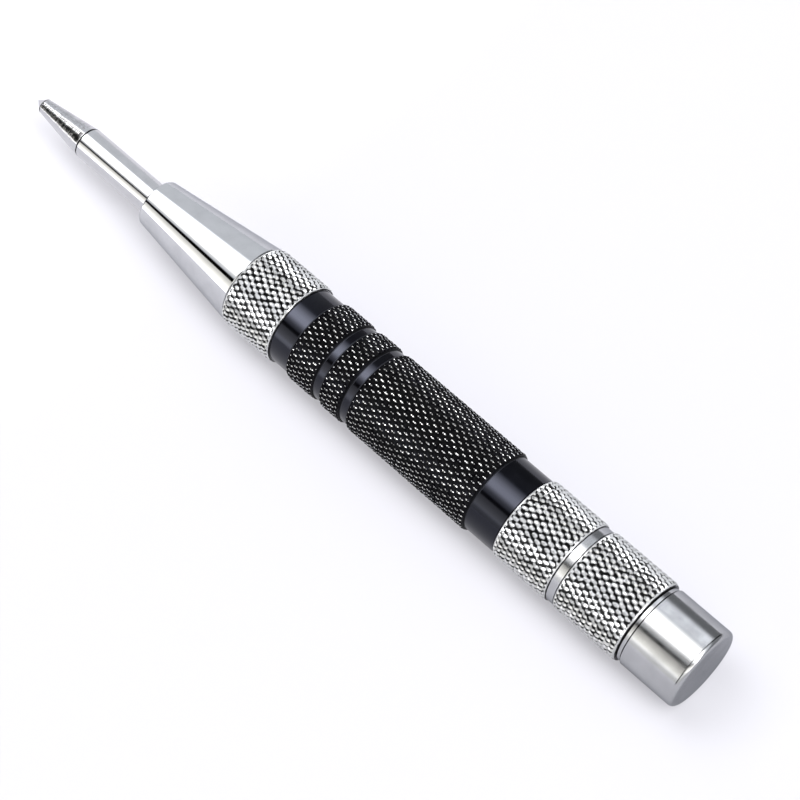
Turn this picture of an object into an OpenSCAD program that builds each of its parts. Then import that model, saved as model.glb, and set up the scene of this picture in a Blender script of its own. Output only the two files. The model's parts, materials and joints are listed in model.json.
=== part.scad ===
// Automatic (spring-loaded) centre punch, lying on its side.
// +X runs from the point to the adjusting cap, +Z is up and Z = 0 is the surface it lies on.
// Every piece is turned, so each outline is a list of [radius, station], where the station
// is the distance from the tip of the point along the tool, in millimetres.

/* [Punch point] */
// Diameter of the point's shank
shank_d = 5.0; // [4.5:0.1:5.5]
// Length that stands out of the nose cone at rest
point_reach = 26.45; // [22:0.05:30]
// Length from the tip to the end of the slim taper
taper_l = 11.4; // [8:0.1:14]
// Included angle of the ground tip
tip_angle = 74; // [60:1:90]
// Diameter where the ground tip meets the slim taper
tip_d = 2.4; // [1.5:0.1:3]
// How far the point is pushed in before the tool strikes
stroke = 11; // [8:0.5:11.5]

/* [Nose cone] */
// Length of the nose cone with its collar
nose_l = 29.75; // [29:0.05:33]
// Diameter of the cone at its front face
mouth_d = 7.7; // [7:0.1:9]
// Diameter of the cone where it meets the collar
cone_d = 12.8; // [12:0.1:13]
// Length of the knurled collar
collar_l = 9.4; // [8:0.1:10]
// Diameter of the collar over its knurl
collar_d = 13.2; // [13.1:0.1:15]

/* [Body tube] */
// Diameter of the body over its knurls
grip_d = 13.1; // [12.8:0.1:15]
// Diameter of the two smooth necks
neck_d = 12.3; // [11.9:0.1:12.6]
// Diameter at the bottom of the grooves between the knurls
groove_d = 12.4; // [11.9:0.1:12.6]
// Length of each groove
groove_l = 1.3; // [0.8:0.1:2]
// Length of the smooth neck behind the nose cone
front_neck_l = 3.5; // [2:0.1:5]
// Length of the first short knurl
front_knurl_l = 5.2; // [4:0.1:7]
// Length of the second short knurl
middle_knurl_l = 3.9; // [3:0.1:6]
// Length of the long knurled grip
grip_l = 22.3; // [20:0.1:30]
// Length of the smooth neck ahead of the cap
rear_neck_l = 5.3; // [3:0.1:8]

/* [Adjusting cap] */
// Diameter of the cap over its knurls
cap_d = 13.0; // [12.8:0.1:15]
// Diameter of the cap's plain end
cap_end_d = 12.4; // [12:0.1:12.6]
// Diameter of the narrow neck ahead of the plain end
cap_neck_d = 12.0; // [11.8:0.1:12.4]
// Length of the cap's front knurl
cap_front_l = 9.6; // [8:0.1:12]
// Length of the cap's rear knurl
cap_rear_l = 10.9; // [9:0.1:13]
// Length of the narrow neck
cap_neck_l = 0.8; // [0.5:0.1:1.5]
// Length of the plain end
cap_end_l = 8.8; // [6:0.1:12]
// Radius of the cap's end edge
cap_edge_r = 0.7; // [0.3:0.1:1.2]

/* [Springs] */
// Wire diameter of the main spring
main_wire_d = 1.2; // [0.8:0.1:1.2]
// Number of turns of the main spring
main_turns = 13; // [8:1:15]
// Wire diameter of the return spring
return_wire_d = 0.5; // [0.3:0.1:0.5]
// Number of turns of the return spring
return_turns = 9; // [6:1:11]

/* [Hidden] */
$fn = 96;

// Gaps and small edges
face_gap = 0.05;      // between faces of pieces that move apart
thread_gap = 0.05;    // radial, at the two screwed joints
slide_gap = 0.1;      // radial, round pieces that slide inside the body
chamfer = 0.3;        // at the ends of each knurl and turned piece
small_edge = 0.1;

// Radii of the inner spaces
shank_bore_r = shank_d / 2 + 0.03;
front_bore_r = 4.0;
chamber_r = 4.3;
gate_r = 2.35;        // the narrow gate that brings the push rod to the middle
funnel_r = 2.75;
cap_bore_r = 4.7;
front_thread_r = 5.25;
rear_thread_r = 5.4;

// Radii of the inner pieces
rod_r = 2.15;
rod_pin_r = 1.25;
rod_foot_r = 3.4;
strike_hole_r = 1.6;
spring_boss_r = 2.6;
return_spring_r = 3.0;
main_spring_r = chamber_r - 0.8;

// The push rod leans until the gate brings it to the middle
rod_tilt = 2;

// Stations along the tool, from the tip
nose_front = point_reach;
nose_rear = nose_front + nose_l;
collar_front = nose_rear - collar_l;
flange_front = nose_front + 9.95;
flange_l = 2.45;
tail_rear = flange_front + face_gap + flange_l + 2.5;
front_spigot_l = 8.1;
spigot_front = nose_rear - front_spigot_l;
rod_front = tail_rear + face_gap;
rod_pivot = rod_front + 0.45;
rod_foot_rear = rod_front + 1.55;
gate_front = nose_rear + 6.2;
gate_rear = gate_front + 4.1;
funnel_l = 1.5;
hammer_front = gate_rear + face_gap;
hammer_l = 18;
boss_l = 2;
body_bands = [          // [length, radius, end chamfer]
    [front_neck_l, neck_d / 2, 0],
    [front_knurl_l, grip_d / 2, chamfer],
    [groove_l, groove_d / 2, 0],
    [middle_knurl_l, grip_d / 2, chamfer],
    [groove_l, groove_d / 2, 0],
    [grip_l, grip_d / 2, chamfer],
    [rear_neck_l, neck_d / 2, 0],
];
cap_bands = [
    [cap_front_l, cap_d / 2, chamfer],
    [groove_l, groove_d / 2, 0],
    [cap_rear_l, cap_d / 2, chamfer],
    [cap_neck_l, cap_neck_d / 2, 0],
];
body_rear = nose_rear + total_length(body_bands);
rear_spigot_l = 13.4;
spigot_rear = body_rear + rear_spigot_l;
cap_end_front = body_rear + total_length(cap_bands);
tool_l = cap_end_front + cap_end_l;
cap_wall = 3.5;
cap_thread_rear = spigot_rear + 1;
cap_floor = tool_l - cap_wall;
seat_l = 1.95;
seat_front = cap_floor - face_gap - seat_l;
rest_r = max(collar_d, grip_d, cap_d) / 2;

// Length of the first `count` bands, and of them all
function length_before(bands, count) =
    count == 0 ? 0 : length_before(bands, count - 1) + bands[count - 1][0];
function total_length(bands) = length_before(bands, len(bands));

// Outline of one turned band, with its two end corners cut off
function band_outline(start, length, r, cut) =
    cut == 0
    ? [[r, start], [r, start + length]]
    : [[r - cut, start], [r, start + cut], [r, start + length - cut], [r - cut, start + length]];

// Outline of a row of bands that starts at a station
function bands_outline(bands, start) = [
    for (i = [0:len(bands) - 1])
        for (p = band_outline(start + length_before(bands, i), bands[i][0], bands[i][1], bands[i][2]))
            p
];

// Rounded outer corner: from the face at a station towards the side, or back
function corner_arc(r, station, edge, from, to, steps = 6) = [
    for (i = [0:steps])
        let (a = from + (to - from) * i / steps)
            [r + edge * cos(a), station + edge * sin(a)]
];

// Lays a piece that is drawn along +Z from the tip down along +X
module laid() {
    translate([-tool_l / 2, 0, rest_r]) rotate([0, 90, 0]) children();
}

module turned(outline) {
    rotate_extrude() polygon(outline);
}

// A compression spring of round wire, with one close turn at each end
module coil_spring(front, rear, r, wire_d, turns, sides = 8, steps = 20) {
    pitch_end = wire_d * 1.05;
    run = rear - front - wire_d;
    pitch = (run - 2 * pitch_end) / (turns - 2);
    count = turns * steps;
    function rise(t) =
        t < 1 ? t * pitch_end
        : t > turns - 1 ? run - (turns - t) * pitch_end
        : pitch_end + (t - 1) * pitch;
    points = [
        for (i = [0:count])
            for (k = [0:sides - 1])
                let (a = 360 * i / steps, b = 360 * k / sides, ring_r = r + wire_d / 2 * cos(b))
                    [ring_r * cos(a), ring_r * sin(a),
                     front + wire_d / 2 + rise(i / steps) + wire_d / 2 * sin(b)]
    ];
    walls = [
        for (i = [0:count - 1])
            for (k = [0:sides - 1])
                let (a = i * sides + k, b = i * sides + (k + 1) % sides)
                    [a, b, b + sides, a + sides]
    ];
    first_cap = [for (k = [sides - 1:-1:0]) k];
    last_cap = [for (k = [0:sides - 1]) count * sides + k];
    polyhedron(points, concat([first_cap], walls, [last_cap]), convexity = 4);
}

// Hardened point: ground tip, slim taper, shank, then the flange that keeps it in the nose
module punch_point() {
    tip_l = tip_d / 2 / tan(tip_angle / 2);
    flange_rear = flange_front + face_gap + flange_l;
    color("silver") laid() turned([
        [0, 0],
        [tip_d / 2, tip_l],
        [shank_d / 2, taper_l],
        [shank_d / 2, flange_front + face_gap],
        [front_bore_r - slide_gap, flange_front + face_gap],
        [front_bore_r - slide_gap, flange_rear],
        [3.0, flange_rear],
        [3.0, tail_rear],
        [0, tail_rear],
    ]);
}

// Tapered nose that screws onto the body and guides the point
module nose_cone() {
    mouth_edge = 0.35;
    color("gainsboro") laid() turned(concat(
        corner_arc(mouth_d / 2 - mouth_edge, nose_front + mouth_edge, mouth_edge, -90, -7),
        [[cone_d / 2, collar_front - 0.1]],
        band_outline(collar_front, collar_l, collar_d / 2, chamfer),
        [
            [front_thread_r + thread_gap, nose_rear],
            [front_thread_r + thread_gap, spigot_front - small_edge],
            [front_bore_r, spigot_front - small_edge],
            [front_bore_r, flange_front],
            [shank_bore_r, flange_front],
            [shank_bore_r, nose_front + 2 * small_edge],
            [shank_bore_r + 2 * small_edge, nose_front],
        ]
    ));
}

// Body: a threaded spigot at each end, the knurled bands, and the stepped bore
module body_tube() {
    color([0.13, 0.13, 0.15]) laid() turned(concat(
        [
            [front_bore_r, spigot_front],
            [front_thread_r - chamfer, spigot_front],
            [front_thread_r, spigot_front + chamfer],
            [front_thread_r, nose_rear],
        ],
        bands_outline(body_bands, nose_rear),
        [
            [rear_thread_r, body_rear],
            [rear_thread_r, spigot_rear - chamfer],
            [rear_thread_r - chamfer, spigot_rear],
            [chamber_r, spigot_rear],
            [chamber_r, gate_rear],
            [gate_r, gate_rear],
            [gate_r, gate_front],
            [funnel_r, gate_front - funnel_l],
            [front_bore_r, gate_front - funnel_l],
        ]
    ));
}

// Push rod: a foot that rocks on the point, a thick part for the gate, a thin striking pin.
// It rests with its pin off the middle of the hammer.
module push_rod() {
    thick_rear = gate_front - 7;
    color("darkgray") laid() translate([0, 0, rod_pivot]) rotate([0, rod_tilt, 0])
        translate([0, 0, -rod_pivot]) turned([
            [0, rod_front],
            [rod_foot_r, rod_front + 0.25],
            [rod_foot_r, rod_foot_rear],
            [rod_r, rod_foot_rear],
            [rod_r, thick_rear],
            [rod_pin_r, thick_rear + 2],
            [rod_pin_r, gate_rear - 0.15],
            [rod_pin_r - small_edge, gate_rear - face_gap],
            [0, gate_rear - face_gap],
        ]);
}

// Light spring that pushes the rod and the point back out
module return_spring() {
    color("goldenrod") laid() coil_spring(rod_foot_rear + 0.2, gate_front - funnel_l - face_gap,
        return_spring_r, return_wire_d, return_turns, sides = 6, steps = 18);
}

// Hammer: a sliding cylinder with a blind hole for the pin and a boss for the main spring
module hammer() {
    rear = hammer_front + hammer_l;
    hole_depth = stroke + 1;
    color("dimgray") laid() turned([
        [strike_hole_r, hammer_front],
        [chamber_r - slide_gap - 0.2, hammer_front],
        [chamber_r - slide_gap, hammer_front + 0.2],
        [chamber_r - slide_gap, rear - 0.2],
        [chamber_r - slide_gap - 0.2, rear],
        [spring_boss_r, rear],
        [spring_boss_r, rear + boss_l - chamfer],
        [spring_boss_r - chamfer, rear + boss_l],
        [0, rear + boss_l],
        [0, hammer_front + hole_depth],
        [strike_hole_r, hammer_front + hole_depth],
    ]);
}

// Strong spring that drives the hammer
module main_spring() {
    color("slategray") laid() coil_spring(hammer_front + hammer_l + face_gap, seat_front - face_gap,
        main_spring_r, main_wire_d, main_turns);
}

// Loose disc between the main spring and the turning cap
module spring_seat() {
    boss = 1.5;
    color("silver") laid() turned([
        [0, seat_front - boss],
        [spring_boss_r - chamfer, seat_front - boss],
        [spring_boss_r, seat_front - boss + chamfer],
        [spring_boss_r, seat_front],
        [cap_bore_r - slide_gap, seat_front],
        [cap_bore_r - slide_gap, seat_front + seat_l],
        [0, seat_front + seat_l],
    ]);
}

// Cap that screws onto the body and sets the load of the main spring
module adjusting_cap() {
    color("lightgray") laid() turned(concat(
        [
            [0, cap_floor],
            [cap_bore_r, cap_floor],
            [cap_bore_r, cap_thread_rear],
            [rear_thread_r + thread_gap, cap_thread_rear],
            [rear_thread_r + thread_gap, body_rear + face_gap],
            [cap_d / 2 - chamfer, body_rear + face_gap],
        ],
        [for (p = bands_outline(cap_bands, body_rear)) if (p[1] > body_rear) p],
        [[cap_end_d / 2, cap_end_front]],
        corner_arc(cap_end_d / 2 - cap_edge_r, tool_l - cap_edge_r, cap_edge_r, 0, 90),
        [[0, tool_l]]
    ));
}

punch_point();
nose_cone();
body_tube();
push_rod();
return_spring();
hammer();
main_spring();
spring_seat();
adjusting_cap();
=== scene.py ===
"""Looks of the automatic centre punch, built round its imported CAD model.

Every turned piece is lathed again from its own CAD outline, with the parts that the CAD model
leaves plain: diamond knurls, screw threads, turning marks and finely rounded ends.
Everything is in metres, in the CAD model's frame: +X from the point to the cap, +Z up.
"""

import json
import math

import bpy
import numpy as np
from mathutils import Matrix, Vector


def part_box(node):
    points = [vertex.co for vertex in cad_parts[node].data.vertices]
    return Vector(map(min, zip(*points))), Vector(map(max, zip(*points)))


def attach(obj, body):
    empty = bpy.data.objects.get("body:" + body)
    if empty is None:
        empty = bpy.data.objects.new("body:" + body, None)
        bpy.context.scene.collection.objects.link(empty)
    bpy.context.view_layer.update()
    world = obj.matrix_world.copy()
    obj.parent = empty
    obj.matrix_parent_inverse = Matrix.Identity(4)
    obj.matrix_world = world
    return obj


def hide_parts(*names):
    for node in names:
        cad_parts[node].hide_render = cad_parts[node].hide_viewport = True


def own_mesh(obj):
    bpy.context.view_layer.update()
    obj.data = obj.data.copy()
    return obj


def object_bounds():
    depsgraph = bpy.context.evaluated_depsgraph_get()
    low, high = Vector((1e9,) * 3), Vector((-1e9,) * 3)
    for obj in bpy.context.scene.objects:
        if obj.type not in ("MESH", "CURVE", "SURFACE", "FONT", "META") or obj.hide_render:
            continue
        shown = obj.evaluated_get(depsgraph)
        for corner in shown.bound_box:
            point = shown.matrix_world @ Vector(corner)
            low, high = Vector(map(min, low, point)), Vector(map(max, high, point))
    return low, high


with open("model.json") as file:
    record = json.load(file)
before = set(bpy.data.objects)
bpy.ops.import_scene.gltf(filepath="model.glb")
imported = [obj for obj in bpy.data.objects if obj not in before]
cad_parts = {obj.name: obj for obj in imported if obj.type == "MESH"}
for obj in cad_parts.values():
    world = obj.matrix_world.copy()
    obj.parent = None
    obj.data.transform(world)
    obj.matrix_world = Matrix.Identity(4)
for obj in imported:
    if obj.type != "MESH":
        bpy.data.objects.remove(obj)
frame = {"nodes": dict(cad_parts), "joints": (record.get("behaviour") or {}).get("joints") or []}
cad_low, cad_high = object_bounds()

MM = 0.001
AXIS = Vector((0.0, 0.0, (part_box("nose_cone")[0].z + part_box("nose_cone")[1].z) / 2))

# Diamond knurl: its grooves follow the diagonals of a grid of KNURL_STEPS steps a pitch
KNURL_STARTS = 42
KNURL_STEPS = 8
KNURL_PITCH = 1.66 * MM
KNURL_DEPTH = 0.27 * MM
KNURL_LAND = 0.16 * MM
KNURL_UNEVEN = 0.10
KNURL_WEAR = (0.2, 1.0)      # least and most wear of a diamond's long corners
KNURL_SHORTEST = 2.5 * MM
COLUMNS = KNURL_STARTS * KNURL_STEPS
FINE_COLUMNS = 144

# Screw threads: the only turned faces between these radii
THREAD_RADII = (5.0 * MM, 5.6 * MM)
THREAD_PITCH = 1.0 * MM
THREAD_DEPTH = 0.55 * MM
THREAD_ROWS = ((0.0, 1.0), (0.42, 0.0), (0.58, 0.0))   # share of the pitch, share of the depth

# Steps a coarse lathe tool left on the point's taper, and the narrow groove where they run out
CUT = 0.22 * MM
CUT_WIDTHS = (0.6, 1.6)      # shares of CUT
CUT_CLIMB = 0.8              # share of a step's width that it takes to come back up
CUT_DEPTH = 0.021 * MM
CUT_WAVES = 40
CUT_STREAKS = (0.2, 1.2)     # shares of CUT_DEPTH, along the whole taper
CUT_KNOTS = (0.6, 1.3)       # shares of the streak's depth, step by step
CUT_SHARP = math.radians(8)
RUN_OUT = 0.34 * MM
RUN_OUT_DEPTH = 0.12 * MM
RUN_OUT_ROWS = ((1.0, 0.0), (0.7, 1.0), (0.3, 1.0))   # share of its length left, share of its depth
LONG_RUN = 5.0 * MM          # no shorter run is the point's taper or a thread
TAPER_RADIUS = 3.3 * MM      # the point's taper is slimmer than this

# Wire of the springs: its sides, its steps a turn, and how sharp its ground ends are
WIRE_SIDES, WIRE_STEPS = 16, 48
WIRE_SHARP = math.radians(50)
WIRE_GROUND = 0.25           # share of the wire that is ground off at each end
CLOSED_TURN = 1.05           # how far an end turn advances, in wire diameters

# Plain runs of an outline
LONGEST_FACE = 12.0 * MM
BEVEL = 0.045 * MM
HOLD = 0.12 * MM             # how far from a corner smooth shading may reach
# How far grime and painted shade reach from a corner: they darken inner corners, run ends and bores
GRIME_AND_SHADE_REACH = 0.20 * MM
GRIME_AND_SHADE_FULL = 0.6             # share of its reach over which the grime and painted shade are full
MOST_OF_FACE = 0.4           # share of a face that one eased corner may take
SHARP = math.radians(28)
STRAIGHT = math.radians(0.4)
SAME_RING = 5e-6
SAME_POINT = 1e-7


# ---------------------------------------------------------------- outlines

def outline_of(node, place=Matrix.Identity(4)):
    """Corners (x, radius) of a turned CAD node, in order, with its outer side running along +X."""
    mesh = frame["nodes"][node].data
    rings, ring_of, touching = [], [], {}
    for vertex in mesh.vertices:
        p = place @ vertex.co - AXIS
        here = (p.x, math.hypot(p.y, p.z))
        found = next((i for i, r in enumerate(rings) if math.dist(r, here) < SAME_RING), None)
        if found is None:
            found = len(rings)
            rings.append(here)
        ring_of.append(found)
    for edge in mesh.edges:
        a, b = (ring_of[i] for i in edge.vertices)
        if a != b:
            touching.setdefault(a, set()).add(b)
            touching.setdefault(b, set()).add(a)
    ends = [i for i in touching if len(touching[i]) == 1]
    walk = [min(ends, key=lambda i: rings[i][0]) if ends else min(touching, key=lambda i: rings[i][1])]
    while True:
        onward = [i for i in sorted(touching[walk[-1]]) if i not in walk]
        if not onward:
            break
        walk.append(onward[0])
    corners = [rings[i] for i in walk]
    if ends:
        on_axis = [(c[0], 0.0) for c in (corners[0], corners[-1])]
        corners = [on_axis[0], *corners, on_axis[1]]
    else:
        corners.append(corners[0])
    around = sum(a[0] * b[1] - b[0] * a[1] for a, b in zip(corners, corners[1:]))
    return only_corners(corners if around < 0 else corners[::-1])


def only_corners(points):
    """The outline without repeated points, and without points in the middle of a straight run."""
    apart = [p for i, p in enumerate(points) if i == 0 or math.dist(p, points[i - 1]) > SAME_RING]
    turning = [b for a, b, c in zip(apart, apart[1:], apart[2:]) if abs(turn_at(a, b, c)) > STRAIGHT]
    return [apart[0], *turning, apart[-1]]


def turn_at(before, here, after):
    """The outline's turn at a corner in radians: above zero in an inner corner, below it on an edge."""
    a = math.atan2(here[1] - before[1], here[0] - before[0])
    b = math.atan2(after[1] - here[1], after[0] - here[0])
    return (b - a + math.pi) % (2 * math.pi) - math.pi


def towards(a, b, distance):
    """The point at a distance from a on the way to b, with the grime and painted shade of a."""
    share = distance / math.dist(a[:2], b[:2])
    return (a[0] + (b[0] - a[0]) * share, a[1] + (b[1] - a[1]) * share, *a[2:])


def eased_corner(before, here, after):
    """The points (x, radius, grime and painted shade) that stand for one corner of a plain run."""
    turn = turn_at(before, here, after)
    room = MOST_OF_FACE * min(math.dist(before, here), math.dist(here, after))
    near, far = min(BEVEL, room / 2), min(HOLD, room)
    in_bore = after[0] < before[0] - SAME_RING
    # Bores and inner corners are darkened with grime and painted shade
    if in_bore and turn < -SHARP:
        ahead = min(GRIME_AND_SHADE_REACH, MOST_OF_FACE * math.dist(here, after))
        return [(*here, 1.0), (*towards(here, after, ahead), 0.0)]
    if in_bore:
        return [(*here, 1.0)]
    if turn > SHARP:
        back, ahead = (min(GRIME_AND_SHADE_REACH, MOST_OF_FACE * math.dist(here, other)) for other in (before, after))
        return [
            (*towards(here, before, back), 0.0),
            (*towards(here, before, GRIME_AND_SHADE_FULL * back), 1.0),
            (*here, 1.0),
            (*towards(here, after, GRIME_AND_SHADE_FULL * ahead), 1.0),
            (*towards(here, after, ahead), 0.0),
        ]
    if turn < -SHARP:
        places = ((before, far), (before, near), (after, near), (after, far))
        return [(*towards(here, other, distance), 0.0) for other, distance in places]
    return [(*towards(here, before, far), 0.0), (*here, 0.0), (*towards(here, after, far), 0.0)]


def without_long_faces(points):
    """The points with more between any two that are over LONGEST_FACE apart."""
    filled = [points[0]]
    for a, b in zip(points, points[1:]):
        length = math.dist(a[:2], b[:2])
        pieces = max(1, math.ceil(length / LONGEST_FACE))
        filled += [towards(a, b, length * k / pieces) for k in range(1, pieces)]
        filled.append(b)
    return filled


def eased(run):
    """A plain run as (x, radius, grime and painted shade), with its edges bevelled, grime and painted shade
    at its ends and in its inner corners, rings that hold its gentle turns, and no long faces. A bore keeps
    its plain corners, and is darkened with grime and painted shade up to its edges."""
    start, end = (min(HOLD, MOST_OF_FACE * math.dist(a, b)) for a, b in (run[:2], run[-2:]))
    points = [(*run[0], 1.0), (*towards(run[0], run[1], start), 0.0)]
    for before, here, after in zip(run, run[1:], run[2:]):
        points += eased_corner(before, here, after)
    points += [(*towards(run[-1], run[-2], end), 0.0), (*run[-1], 1.0)]
    return without_long_faces(points)


# ---------------------------------------------------------------- rows of a turned surface

def ring_rows(corners, columns):
    """Plain rings at corners of (x, radius, grime and painted shade). Like all rows here, they are four
    arrays with
    one row a ring: x, radius, grime and painted shade, and shine."""
    corners = np.array([(*corner, 0.0) for corner in corners])
    shape = (len(corners), columns + 1)
    return [np.broadcast_to(corners[:, k:k + 1], shape) for k in range(4)]


def between_rings(rows, start, end, radius, grime_and_shade):
    """The rows with a ring at each end."""
    rings = ring_rows([(start, radius, grime_and_shade), (end, radius, grime_and_shade)], COLUMNS)
    return [np.vstack([ring[:1], row, ring[1:]]) for ring, row in zip(rings, rows)]


def taper_rows(a, b, columns, rng):
    """Rows of a tapered run that a lathe tool left in uneven steps, with a narrow groove at its end that is
    darkened with grime and painted shade.
    """
    length = math.dist(a, b)
    rings = [(0.0, 0.0, 0.0)]
    place = CUT
    while place < length - RUN_OUT - 2 * CUT:
        width = CUT * rng.uniform(*CUT_WIDTHS)
        rings += [(place, CUT_DEPTH, 0.0), (place + CUT_CLIMB * width, 0.0, 0.0)]
        place += width
    rings += [(length - RUN_OUT * left, RUN_OUT_DEPTH * low, low) for left, low in RUN_OUT_ROWS]
    rings.append((length, 0.0, 0.0))
    share, depth, grime_and_shade = np.array(rings).T[:, :, None] / np.array([length, 1, 1])[:, None, None]
    streaks = rng.uniform(*CUT_STREAKS, CUT_WAVES)
    knots = streaks * rng.uniform(*CUT_KNOTS, (len(rings), CUT_WAVES))
    turns = np.arange(columns + 1) / columns * CUT_WAVES
    uneven = np.array([np.interp(turns, range(CUT_WAVES + 1), [*row, row[0]]) for row in knots])
    uneven = np.where(grime_and_shade > 0, 1.0, uneven)
    plain = np.zeros((len(rings), columns + 1))
    x = plain + a[0] + (b[0] - a[0]) * share
    r = a[1] + (b[1] - a[1]) * share - depth * uneven
    return x, r, plain + grime_and_shade, plain


def knurl_rows(start, end, crest, cut, rng):
    """Rows of a diamond-knurled band whose ends are cut down by a chamfer. Grime and painted shade fill the
    crossings of its grooves, and each diamond is shiny where its two long corners are worn."""
    low, high = start + KNURL_LAND, end - KNURL_LAND
    count = round((high - low) / (KNURL_PITCH / KNURL_STEPS))
    row = np.arange(count + 1)[:, None]
    column = np.arange(COLUMNS + 1)[None, :]
    x = np.broadcast_to(low + (high - low) * row / count, (count + 1, COLUMNS + 1))
    half = KNURL_STEPS // 2
    grooves, worn = [], (row + column) % KNURL_STEPS == (row - column) % KNURL_STEPS
    for lean in (row + column, row - column):
        away = np.abs((lean + half) % KNURL_STEPS - half)
        number = (lean + half) // KNURL_STEPS % KNURL_STARTS
        cutter = 1 + KNURL_UNEVEN * (rng.random(KNURL_STARTS) - 0.5)
        grooves.append((1 - np.minimum(1, away / (half - 1))) * cutter[number])
        worn = worn & (away == half - 1)
    inside = np.clip(np.minimum(x - low, high - x) / KNURL_LAND, 0, 1)
    chamfer = np.minimum(crest, crest - cut + np.minimum(x - start, end - x))
    r = np.minimum(chamfer, crest - KNURL_DEPTH * np.maximum(*grooves) * inside)
    grime_and_shade = (grooves[0] + grooves[1]) / 2 * inside
    shine = worn * rng.uniform(*KNURL_WEAR, x.shape) * inside
    return between_rings((x, r, grime_and_shade, shine), start, end, crest - cut, 1.0)


def thread_rows(start, end, crest):
    """Rows of a right-hand thread. They follow the helix, and run out in a plain ring at each end."""
    turns = np.arange(COLUMNS + 1)[None, :] / COLUMNS
    starts = range(math.floor(start / THREAD_PITCH) - 1, math.ceil(end / THREAD_PITCH) + 1)
    x = np.vstack([(n + share + turns) * THREAD_PITCH for n in starts for share, _ in THREAD_ROWS])
    depth = np.vstack([np.full((1, COLUMNS + 1), deep) for _ in starts for _, deep in THREAD_ROWS])
    depth = depth * np.clip(np.minimum(x - start, end - x) / (THREAD_PITCH / 2), 0, 1)
    inside = (x.max(1) > start) & (x.min(1) < end)
    x, depth = x[inside], depth[inside]
    r = crest - THREAD_DEPTH * depth
    # The thread's roots get grime and painted shade as deep as they are
    return between_rings((np.clip(x, start, end), r, depth, 0 * depth), start, end, crest, 0.0)


def is_level(a, b):
    return abs(a[1] - b[1]) < SAME_RING


def is_knurl(a, b, c, d):
    """A long level run between two chamfers that fall away from it."""
    falls = a[1] < b[1] - SAME_RING and d[1] < c[1] - SAME_RING
    slants = abs(a[0] - b[0]) > SAME_RING and abs(c[0] - d[0]) > SAME_RING
    outside = b[1] > THREAD_RADII[1]
    return falls and slants and outside and is_level(b, c) and abs(b[0] - c[0]) > KNURL_SHORTEST


def is_taper(a, b):
    """The long slender taper of the point."""
    return not is_level(a, b) and b[0] - a[0] > LONG_RUN and b[1] < TAPER_RADIUS


def is_thread(a, b):
    return is_level(a, b) and abs(a[0] - b[0]) > LONG_RUN and THREAD_RADII[0] < a[1] < THREAD_RADII[1]


def sections_of(outline, columns, rng):
    """The outline as a list of (rows, whether they are knurled), in order."""
    found, run, i = [], [outline[0]], 0

    def close_run():
        if len(run) > 1:
            found.append((ring_rows(eased(run), columns), False))

    while i < len(outline) - 1:
        if i + 3 < len(outline) and is_knurl(*outline[i:i + 4]):
            close_run()
            a, b, c, d = outline[i:i + 4]
            found.append((knurl_rows(a[0], d[0], b[1], b[1] - a[1], rng), True))
            i += 3
            run = [d]
        elif is_thread(outline[i], outline[i + 1]):
            close_run()
            a, b = outline[i:i + 2]
            rows = thread_rows(min(a[0], b[0]), max(a[0], b[0]), a[1])
            found.append(([r if a[0] < b[0] else r[::-1] for r in rows], False))
            i += 1
            run = [b]
        elif is_taper(outline[i], outline[i + 1]):
            close_run()
            found.append((taper_rows(outline[i], outline[i + 1], columns, rng), False))
            i += 1
            run = [outline[i]]
        else:
            i += 1
            run.append(outline[i])
    close_run()
    return found


# ---------------------------------------------------------------- meshes

def placed(name, data):
    """A new object in the scene."""
    piece = bpy.data.objects.new(name, data)
    bpy.context.scene.collection.objects.link(piece)
    return piece


def store(mesh, label, values):
    """Gives the mesh a number at each point, for its material to read."""
    mesh.attributes.new(label, "FLOAT", "POINT").data.foreach_set("value", values.astype(np.float32))


def grid_triangles(r, first):
    """Triangles between rows of points that are numbered from first. Each square is cut along its
    more level diagonal, which keeps the ridges and grooves of a knurl straight."""
    rows, around = r.shape
    a = first + np.arange(rows - 1)[:, None] * around + np.arange(around - 1)[None, :]
    b, c, d = a + 1, a + around + 1, a + around
    cut_bd, cut_ac = np.stack([a, b, d, b, c, d], -1), np.stack([a, b, c, a, c, d], -1)
    bd_is_level = np.abs(r[:-1, 1:] - r[1:, :-1]) < np.abs(r[:-1, :-1] - r[1:, 1:])
    return np.where(bd_is_level[..., None], cut_bd, cut_ac).reshape(-1, 3)


def joined(points, triangles):
    """Which points to keep so that none are doubled, the triangles between those, and which of
    the triangles still have three corners."""
    places = np.round(points / SAME_POINT).astype(np.int64)
    _, kept, number = np.unique(places, axis=0, return_index=True, return_inverse=True)
    corners = number.ravel()[triangles]
    a, b, c = corners.T
    return kept, corners, (a != b) & (b != c) & (c != a)


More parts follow.
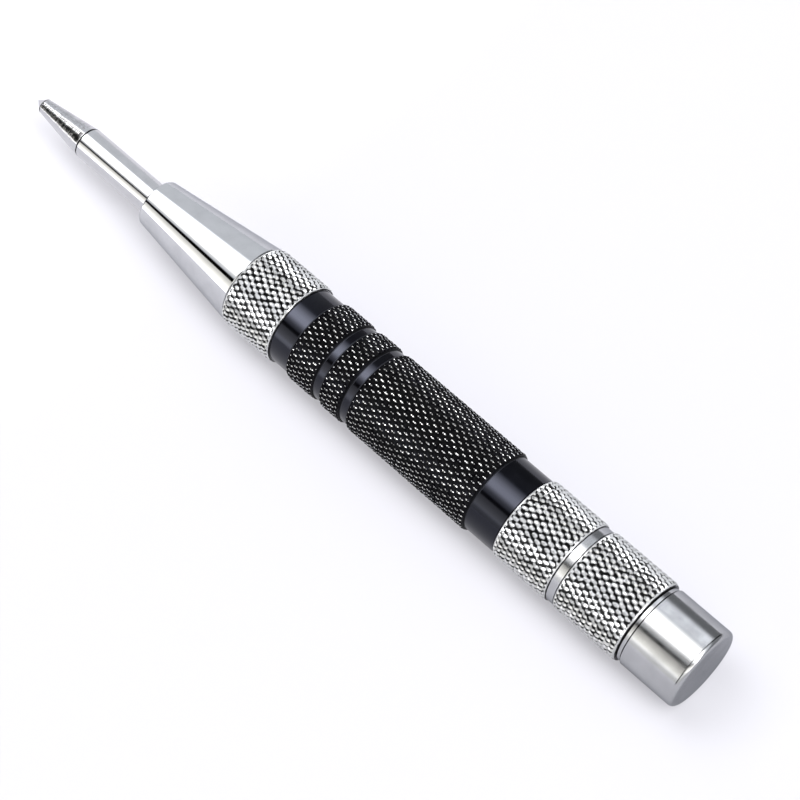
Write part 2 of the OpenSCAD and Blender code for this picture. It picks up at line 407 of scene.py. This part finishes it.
def lathed(name, outline, columns=COLUMNS, place=Matrix.Identity(4), seed=1, sharp=SHARP):
    """A closed turned mesh from an outline. For the materials, it stores each point's grime and painted
    shade, shine and station, which is the distance along the outline, and whether it is in a knurl."""
    rng = np.random.default_rng(seed)
    angle = 2 * math.pi * np.arange(columns + 1) / columns
    points, triangles, flat = [], [], []
    stored = {"grime_and_shade": [], "shine": [], "station": [], "knurled": []}
    first, station = 0, 0.0
    for (x, r, grime_and_shade, shine), knurled in sections_of(outline, columns, rng):
        steps = np.hypot(np.diff(x.mean(1)), np.diff(r.mean(1)))
        along = station + np.concatenate([[0], np.cumsum(steps)])
        station = along[-1]
        points.append(np.stack([x, r * np.cos(angle), r * np.sin(angle)], -1).reshape(-1, 3))
        for label, values in zip(stored, (grime_and_shade, shine, along[:, None], float(knurled))):
            stored[label].append(np.broadcast_to(values, x.shape).ravel())
        triangles.append(grid_triangles(r, first))
        flat.append(np.full(len(triangles[-1]), knurled))
        first += x.size
    points = np.concatenate(points) + np.array(AXIS)
    kept, corners, whole = joined(points, np.concatenate(triangles))
    mesh = bpy.data.meshes.new(name)
    mesh.from_pydata(points[kept].tolist(), [], corners[whole].tolist())
    for label, values in stored.items():
        store(mesh, label, np.concatenate(values)[kept])
    mesh.polygons.foreach_set("use_smooth", ~np.concatenate(flat)[whole])
    mesh.set_sharp_from_angle(angle=sharp)
    mesh.transform(place)
    mesh.validate()
    return placed(name, mesh)


def spring(name, node, turns):
    """A compression spring of round wire in a CAD spring's place, its end turns closed and ground flat."""
    low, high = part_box(node)
    radii = [math.hypot(v.co.y - AXIS.y, v.co.z - AXIS.z) for v in frame["nodes"][node].data.vertices]
    wire = max(radii) - min(radii)
    middle = (max(radii) + min(radii)) / 2
    front, rear = low.x + wire * (0.5 - WIRE_GROUND), high.x - wire * (0.5 - WIRE_GROUND)
    close = CLOSED_TURN * wire
    body = (rear - front - 2 * close) / (turns - 2)
    turn = np.linspace(0, turns, turns * WIRE_STEPS + 1)
    ends = [front, front + close, front + close + body * (turns - 2), rear]
    x = np.interp(turn, [0, 1, turns - 1, turns], ends)
    around = 2 * math.pi * turn[:, None]
    across = 2 * math.pi * np.arange(WIRE_SIDES)[None, :] / WIRE_SIDES
    r = middle + wire / 2 * np.cos(across)
    along = np.clip(x[:, None] + wire / 2 * np.sin(across), low.x, high.x)
    points = np.stack([along, AXIS.y + r * np.cos(around), AXIS.z + r * np.sin(around)], -1)
    numbers = np.arange(points[..., 0].size).reshape(-1, WIRE_SIDES)
    a, b = numbers, np.roll(numbers, -1, axis=1)
    faces = np.stack([a[:-1], b[:-1], b[1:], a[1:]], -1).reshape(-1, 4).tolist()
    faces += [numbers[0][::-1].tolist(), numbers[-1].tolist()]
    mesh = bpy.data.meshes.new(name)
    mesh.from_pydata(points.reshape(-1, 3).tolist(), [], faces)
    store(mesh, "station", np.repeat(turn * 2 * math.pi * middle, WIRE_SIDES))
    mesh.polygons.foreach_set("use_smooth", [True] * len(faces))
    mesh.set_sharp_from_angle(angle=WIRE_SHARP)
    return placed(name, mesh)


# ---------------------------------------------------------------- materials

class Nodes:
    """A node tree, with a short way to add and join its nodes."""

    def __init__(self, tree):
        self.tree = tree

    def put(self, socket, value):
        """Sets a socket to a number or a colour, or joins it to another socket."""
        if isinstance(value, bpy.types.NodeSocket):
            self.tree.links.new(value, socket)
        elif isinstance(value, tuple) and socket.type == "RGBA":
            socket.default_value = (*value, 1.0)
        else:
            socket.default_value = value

    def add(self, kind, values=None, **settings):
        node = self.tree.nodes.new("ShaderNode" + kind)
        for key, value in settings.items():
            setattr(node, key, value)
        for key, value in (values or {}).items():
            self.put(node.inputs[key], value)
        return node

    def math(self, operation, a, b):
        return self.add("Math", {0: a, 1: b}, operation=operation).outputs[0]

    def attribute(self, name):
        return self.add("Attribute", attribute_name=name).outputs["Fac"]

    def noise(self, scale, detail):
        place = self.add("TexCoord").outputs["Object"]
        return self.add("TexNoise", {"Vector": place, "Scale": scale, "Detail": detail}).outputs["Fac"]

    def noise_along(self, value, step):
        """Noise along a single value, one wave a step."""
        values = {"W": self.math("DIVIDE", value, step), "Scale": 1.0, "Detail": 3.0}
        return self.add("TexNoise", values, noise_dimensions="1D").outputs["Fac"]

    def spread(self, value, start, end, low=0.0, high=1.0, smooth=False):
        """A value mapped from start..end to low..high, and held there outside."""
        kind = "SMOOTHSTEP" if smooth else "LINEAR"
        values = {"Value": value, "From Min": start, "From Max": end, "To Min": low, "To Max": high}
        return self.add("MapRange", values, interpolation_type=kind).outputs[0]

    def blend(self, share, a, b):
        """One colour turned into another by a share. A Mix node's colours are its sockets 6 and 7."""
        return self.add("Mix", {"Factor": share, 6: a, 7: b}, data_type="RGBA").outputs[2]

    def bump(self, height, distance):
        return self.add("Bump", {"Height": height, "Distance": distance}).outputs["Normal"]


def finish(name, colour, metallic, roughness, smudge, rings, ring_depth, knurl=None, tint=(1.0, 1.0, 1.0)):
    """A turned metal surface with patchy gloss, fine rings left by the lathe tool, and dull grime and
    painted shade in its corners, grooves and bores.
    A knurl may have its own metallic, roughness and refraction index, and shiny worn corners."""
    material = bpy.data.materials.new(name)
    material.use_nodes = True
    nodes = Nodes(material.node_tree)
    shader = material.node_tree.nodes["Principled BSDF"]
    patches = nodes.noise(PATCHES, detail=5.0)
    grain = nodes.noise(GRIME_AND_SHADE_GRAIN, detail=2.0)

    broken = nodes.spread(grain, *MOST_NOISE, -GRIME_AND_SHADE_BREAKS, GRIME_AND_SHADE_BREAKS)
    grime_and_shade = nodes.math("ADD", nodes.attribute("grime_and_shade"), broken)
    deep = nodes.spread(grime_and_shade, GRIME_AND_SHADE_START, GRIME_AND_SHADE_END, smooth=True)
    tone = nodes.blend(nodes.spread(patches, *STAIN_FROM, 0.0, STAIN), colour, GRIME_AND_SHADE)
    # Painted shade, with grime, darkens the colour where the stored grime and painted shade are deep
    tone = nodes.blend(deep, tone, GRIME_AND_SHADE)
    ior = PLAIN_IOR
    if knurl:
        knurl_metallic, knurl_roughness, knurl_ior, shiny = knurl
        knurled = nodes.attribute("knurled")
        worn = nodes.spread(nodes.attribute("shine"), *WORN_FROM, 0.0, shiny)
        tone = nodes.blend(worn, tone, WORN)
        metallic = nodes.math("MAXIMUM", worn, nodes.spread(knurled, 0.0, 1.0, metallic, knurl_metallic))
        roughness = nodes.spread(knurled, 0.0, 1.0, roughness, knurl_roughness)
        ior = nodes.spread(knurled, 0.0, 1.0, ior, knurl_ior)
    dull = nodes.math("ADD", roughness, nodes.spread(patches, *MOST_NOISE, 0.0, smudge))
    dull = nodes.math("ADD", dull, nodes.math("MULTIPLY", deep, GRIME_DULLS))
    marks = nodes.noise_along(nodes.attribute("station"), rings)

    nodes.put(shader.inputs["Base Color"], tone)
    nodes.put(shader.inputs["Specular Tint"], tint)
    nodes.put(shader.inputs["Metallic"], metallic)
    nodes.put(shader.inputs["Roughness"], dull)
    nodes.put(shader.inputs["IOR"], ior)
    nodes.put(shader.inputs["Normal"], nodes.bump(marks, ring_depth))
    return material


def give(piece, body, slot, material, *nodes):
    """Puts a piece on its body, with its material in a slot of its mesh, in place of CAD nodes. The slot
    argument is not used.
    """
    piece.data.materials.append(material)
    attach(piece, body)
    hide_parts(*nodes)


# ---------------------------------------------------------------- the pieces

# Colours of the metals, and the tints of what they mirror at a low angle
NICKEL = (0.58, 0.585, 0.595)
STEEL = (0.55, 0.55, 0.56)
DARK_STEEL = (0.20, 0.20, 0.21)
OXIDE = (0.0006, 0.0006, 0.0010)
WORN = (0.80, 0.80, 0.79)
# The colour of stains and grime, and of the painted shade in corners, grooves and bores
GRIME_AND_SHADE = (0.004, 0.004, 0.004)
PLATED_EDGE = (0.60, 0.61, 0.63)
BLUED_EDGE = (0.74, 0.78, 1.0)
PLAIN_IOR = 1.44

# Noise textures: waves a metre, and the range that most of their values lie in
PATCHES, GRIME_AND_SHADE_GRAIN = 420.0, 1500.0
MOST_NOISE = (0.3, 0.7)
STAIN, STAIN_FROM = 0.10, (0.35, 0.75)

# The stored grime and painted shade and the stored shine over which each sets in, how much noise breaks up
# the grime and shade, and how much rougher it is
GRIME_AND_SHADE_START, GRIME_AND_SHADE_END, GRIME_AND_SHADE_BREAKS = 0.34, 0.45, 0.20
GRIME_DULLS = 0.25
WORN_FROM = (0.08, 0.40)

# A knurl's metallic, roughness, refraction index, and share of shiny corners
SILVER_KNURL = (0.58, 0.10, 1.5, 0.9)
BLACK_KNURL = (0.0, 0.24, 1.15, 1.0)

# Each finish: name, colour, metallic, roughness, smudges, and the spacing and depth of its rings
hardened = finish("hardened_steel", STEEL, 1.0, 0.08, 0.06, 0.08 * MM, 0.0008 * MM)
bright = finish("bright_plate", NICKEL, 1.0, 0.035, 0.04, 0.10 * MM, 0.0002 * MM, SILVER_KNURL, PLATED_EDGE)
satin = finish("satin_plate", NICKEL, 1.0, 0.13, 0.08, 0.05 * MM, 0.0012 * MM, SILVER_KNURL, PLATED_EDGE)
oxide = finish("black_oxide", OXIDE, 0.0, 0.11, 0.04, 0.05 * MM, 0.0006 * MM, BLACK_KNURL, BLUED_EDGE)
plain = finish("plain_steel", STEEL, 1.0, 0.26, 0.08, 0.07 * MM, 0.0020 * MM)
drawn = finish("spring_steel", DARK_STEEL, 1.0, 0.30, 0.08, 0.20 * MM, 0.0010 * MM)

point = lathed("point", outline_of("punch_point"), FINE_COLUMNS, sharp=CUT_SHARP)
nose = lathed("nose", outline_of("nose_cone"), seed=2)
tube = lathed("body", outline_of("body_tube"), seed=3)
cap = lathed("cap", outline_of("adjusting_cap"), seed=4)
hammer = lathed("striking_hammer", outline_of("hammer"), FINE_COLUMNS)
seat = lathed("seat_disc", outline_of("spring_seat"), FINE_COLUMNS)
give(point, "point", "hardened_steel", hardened, "punch_point")
give(nose, "barrel", "bright_plate", bright, "nose_cone")
give(tube, "barrel", "black_oxide", oxide, "body_tube")
give(cap, "cap", "satin_plate", satin, "adjusting_cap")
give(hammer, "hammer", "plain_steel", plain, "hammer")
give(seat, "seat", "plain_steel", plain, "spring_seat")


def joint_named(name):
    return next(joint for joint in frame["joints"] if joint["name"] == name)


def add_rod():
    """The push rod. Its outline is taken with the rod turned straight, and the piece leans again."""
    tilt = joint_named("rod_tilt")
    pivot = Matrix.Translation(tilt["pos_m"])
    lean = Matrix.Rotation(math.radians(tilt["range_deg"][1]), 4, Vector(tilt["axis"]))
    straighten = pivot @ lean @ pivot.inverted()
    rod = lathed("leaning_rod", outline_of("push_rod", straighten), FINE_COLUMNS, straighten.inverted())
    give(rod, "rod", "plain_steel", plain, "push_rod")


def add_spring(name, node, turns, body):
    """A spring that the joint squeezes towards its rear end."""
    coil = spring(name, node, turns)
    give(coil, body, "spring_steel", drawn, node)
    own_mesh(coil)


add_rod()
add_spring("striking_spring", "main_spring", 13, "seat")
add_spring("light_spring", "return_spring", 9, "barrel")


# ---------------------------------------------------------------- camera, light and floor

# The camera looks from VIEW_DISTANCE away at AIM, and is then moved a little right and up
VIEW_AZIMUTH, VIEW_ELEVATION = math.radians(44.78), math.radians(59.7)
VIEW_DISTANCE = 0.3148
LENS = 103.5
AIM = Vector((9.4 * MM, 0.0, AXIS.z))
AIM_RIGHT, AIM_UP = 0.73 * MM, 0.88 * MM


def add_camera():
    back = Vector((math.sin(VIEW_AZIMUTH) * math.cos(VIEW_ELEVATION),
                   -math.cos(VIEW_AZIMUTH) * math.cos(VIEW_ELEVATION), math.sin(VIEW_ELEVATION)))
    turn = (-back).to_track_quat("-Z", "Y")
    camera = placed("camera", bpy.data.cameras.new("camera"))
    camera.data.lens = LENS
    camera.data.clip_start, camera.data.clip_end = 0.01, 20.0
    camera.rotation_mode = "QUATERNION"
    camera.rotation_quaternion = turn
    camera.location = AIM + back * VIEW_DISTANCE + turn @ Vector((AIM_RIGHT, AIM_UP, 0))
    bpy.context.scene.camera = camera


# The studio, as the tool's shiny sides see it. A direction is an angle round the tool, in degrees
# from straight up towards +Y, and x, which runs from -1 at the point's end to 1 at the cap's.
# Each row is an angle, a brightness and a colour: a main box overhead and a weaker warm one on -Y.
COOL, WHITE, WARM = (0.96, 0.99, 1.05), (1.0, 1.0, 1.0), (1.02, 1.0, 0.94)
STUDIO = (
    (-100, 2.0, WHITE), (-88, 2.6, WHITE), (-80, 3.6, WHITE), (-72, 2.2, WARM), (-56, 1.2, WARM),
    (-49, 1.0, WARM), (-48, 0.0, WHITE), (-38.5, 0.0, WHITE), (-37, 0.8, COOL), (-30, 1.3, WHITE),
    (-24, 3.5, WHITE), (-15, 8.0, WHITE), (-4, 8.0, WHITE), (8, 5.5, WHITE), (16, 3.0, WHITE),
    (21, 1.9, COOL), (24.5, 0.92, COOL), (100, 0.92, COOL),
)
STUDIO_TOP = 8.0             # the brightest row

# On the -Y side the rows slant: x past -LEAN_X turns them, by LEAN degrees for each unit of x from
# LEAN_FROM degrees on, and by less nearer the top
LEAN, LEAN_FROM, LEAN_X = 24.0, 40.0, 0.36

# Dark cards, and one that reflects: lowest and highest angle, lowest and highest x, and what each
# multiplies the light by
CARDS = (
    (-85, 12, -1.5, -0.705, 0.02),
    (25, 93, -0.41, -0.26, 0.14),
    (-30, 24, -0.36, -0.26, 0.82),
    (-97, -76, -0.36, -0.05, 0.35),
    (-80, -44, -0.26, -0.05, 0.62),
    (-30, 24, -0.26, -0.05, 0.56),
    (-38, -18, -0.26, -0.05, 0.55),
    (25, 54, -0.26, -0.05, 1.6),
    (60, 93, -0.26, -0.05, 0.22),
    (45, 100, -0.05, 1.5, 0.30),
    (-100, -55, -0.05, 1.5, 0.35),
    (-95, 95, -0.13, 0.08, 0.04),
)
CARD_SOFT, CARD_SOFT_X = 5.0, 0.02


def add_studio():
    """A world that lights and is mirrored like the studio, and is plain white to the camera."""
    world = bpy.data.worlds.new("studio")
    bpy.context.scene.world = world
    world.use_nodes = True
    nodes = Nodes(world.node_tree)
    split = nodes.add("SeparateXYZ", {0: nodes.add("TexCoord").outputs["Generated"]})
    x = split.outputs["X"]
    turn = nodes.math("ARCTAN2", split.outputs["Y"], split.outputs["Z"])
    angle = nodes.math("MULTIPLY", turn, math.degrees(1))
    share = nodes.spread(angle, 0.0, -LEAN_FROM, 0.0, LEAN)
    leant = nodes.math("SUBTRACT", angle, nodes.math("MULTIPLY", share, nodes.math("ADD", x, LEAN_X)))
    ramp = nodes.add("ValToRGB", {0: nodes.spread(leant, -180.0, 180.0)})
    stops = ramp.color_ramp.elements
    stops.remove(stops[1])
    for row, (degrees, brightness, colour) in enumerate(STUDIO):
        stop = stops[0] if row == 0 else stops.new((degrees + 180) / 360)
        stop.position = (degrees + 180) / 360
        stop.color = (*(brightness / STUDIO_TOP * c for c in colour), 1.0)
    passed = 1.0
    for low, high, low_x, high_x, by in CARDS:
        inside = nodes.spread(angle, low - CARD_SOFT, low + CARD_SOFT, smooth=True)
        for value, near, far in ((angle, high + CARD_SOFT, high - CARD_SOFT),
                                 (x, low_x - CARD_SOFT_X, low_x + CARD_SOFT_X),
                                 (x, high_x + CARD_SOFT_X, high_x - CARD_SOFT_X)):
            inside = nodes.math("MULTIPLY", inside, nodes.spread(value, near, far, smooth=True))
        passed = nodes.math("MULTIPLY", nodes.spread(inside, 0.0, 1.0, 1.0, by), passed)
    strength = nodes.math("MULTIPLY", passed, STUDIO_TOP)
    light = nodes.add("Background", {"Color": ramp.outputs["Color"], "Strength": strength})
    room = nodes.add("Background", {"Color": (1.0, 1.0, 1.0)})
    seen = nodes.add("LightPath").outputs["Is Camera Ray"]
    pick = nodes.add("MixShader", {0: seen, 1: light.outputs[0], 2: room.outputs[0]})
    nodes.put(world.node_tree.nodes["World Output"].inputs["Surface"], pick.outputs[0])


# How much the floor glows in the camera, and as the tool's sides see it at the point and at the cap. What
# the sides see is painted light, for the floor is no lamp, and it dims towards the cap as painted shade.
FLOOR_GLOW = 0.35
FLOOR_PAINTED_GLOW = (0.46, 0.08)
FLOOR_COLOUR, FLOOR_GLOW_COLOUR = (0.322, 0.322, 0.345), (1.0, 0.985, 1.045)
FLOOR_HALF = 3.0


def add_floor():
    mesh = bpy.data.meshes.new("floor")
    corners = [(FLOOR_HALF * x, FLOOR_HALF * y, 0) for x, y in ((-1, -1), (1, -1), (1, 1), (-1, 1))]
    mesh.from_pydata(corners, [], [(0, 1, 2, 3)])
    floor = placed("floor", mesh)
    material = bpy.data.materials.new("floor")
    material.use_nodes = True
    shader = material.node_tree.nodes["Principled BSDF"]
    nodes = Nodes(material.node_tree)
    x = nodes.add("SeparateXYZ", {0: nodes.add("TexCoord").outputs["Object"]}).outputs["X"]
    # Painted light: the glow that the tool's sides see, brighter at the point and darker at the cap
    painted_glow = nodes.spread(x, cad_low.x, cad_high.x, *FLOOR_PAINTED_GLOW)
    glow = nodes.math("MULTIPLY", nodes.add("LightPath").outputs["Is Camera Ray"], FLOOR_GLOW)
    nodes.put(shader.inputs["Base Color"], FLOOR_COLOUR)
    nodes.put(shader.inputs["Emission Color"], FLOOR_GLOW_COLOUR)
    nodes.put(shader.inputs["Emission Strength"], nodes.math("MAXIMUM", painted_glow, glow))
    nodes.put(shader.inputs["Roughness"], 0.9)
    nodes.put(shader.inputs["Specular IOR Level"], 0.0)
    mesh.materials.append(material)


add_camera()
add_studio()
add_floor()
bpy.context.scene.view_settings.view_transform = "Standard"
